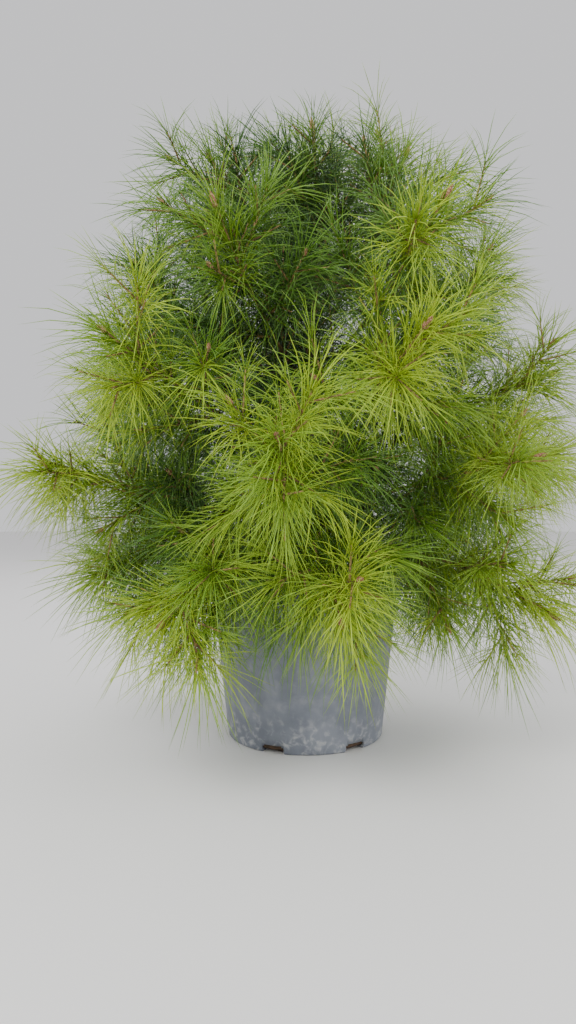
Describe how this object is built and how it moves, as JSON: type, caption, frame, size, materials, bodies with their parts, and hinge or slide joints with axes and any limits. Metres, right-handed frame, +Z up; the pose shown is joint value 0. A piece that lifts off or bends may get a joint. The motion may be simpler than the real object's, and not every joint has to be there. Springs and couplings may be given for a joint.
{
  "type": "potted aleppo pine",
  "caption": "Young bushy pine with long needles in a round plastic nursery pot, standing on its flat base.",
  "frame": {"origin": "centre of the pot's flat underside", "axes": "+Z up along the pot's axis, -Y towards the plant's front"},
  "size_m": [0.5877, 0.5722, 0.6168],
  "materials": {
    "pot": "dusty slate grey plastic",
    "soil": "moist bark compost",
    "bark": "rough young bark",
    "needles": "soft green needles"
  },
  "bodies": {
    "root": {"bough_crown_1": "bark", "bough_crown_2": "bark", "bough_crown_3": "bark", "bough_low_1": "bark", "bough_low_2": "bark", "bough_low_3": "bark", "bough_low_4": "bark", "bough_low_5": "bark", "bough_low_6": "bark", "bough_middle_1": "bark", "bough_middle_2": "bark", "bough_middle_3": "bark", "bough_middle_4": "bark", "bough_middle_5": "bark", "bough_skirt_1": "bark", "bough_skirt_2": "bark", "bough_skirt_3": "bark", "bough_skirt_4": "bark", "bough_skirt_5": "bark", "bough_skirt_6": "bark", "bough_upper_1": "bark", "bough_upper_2": "bark", "bough_upper_3": "bark", "bough_upper_4": "bark", "bough_upper_5": "bark", "needles_crown_1": "needles", "needles_crown_2": "needles", "needles_crown_3": "needles", "needles_low_1": "needles", "needles_low_2": "needles", "needles_low_3": "needles", "needles_low_4": "needles", "needles_low_5": "needles", "needles_low_6": "needles", "needles_middle_1": "needles", "needles_middle_2": "needles", "needles_middle_3": "needles", "needles_middle_4": "needles", "needles_middle_5": "needles", "needles_skirt_1": "needles", "needles_skirt_2": "needles", "needles_skirt_3": "needles", "needles_skirt_4": "needles", "needles_skirt_5": "needles", "needles_skirt_6": "needles", "needles_top_1": "needles", "needles_upper_1": "needles", "needles_upper_2": "needles", "needles_upper_3": "needles", "needles_upper_4": "needles", "needles_upper_5": "needles", "pot": "pot", "soil": "soil", "trunk": "bark"}
  },
  "joints": []
}
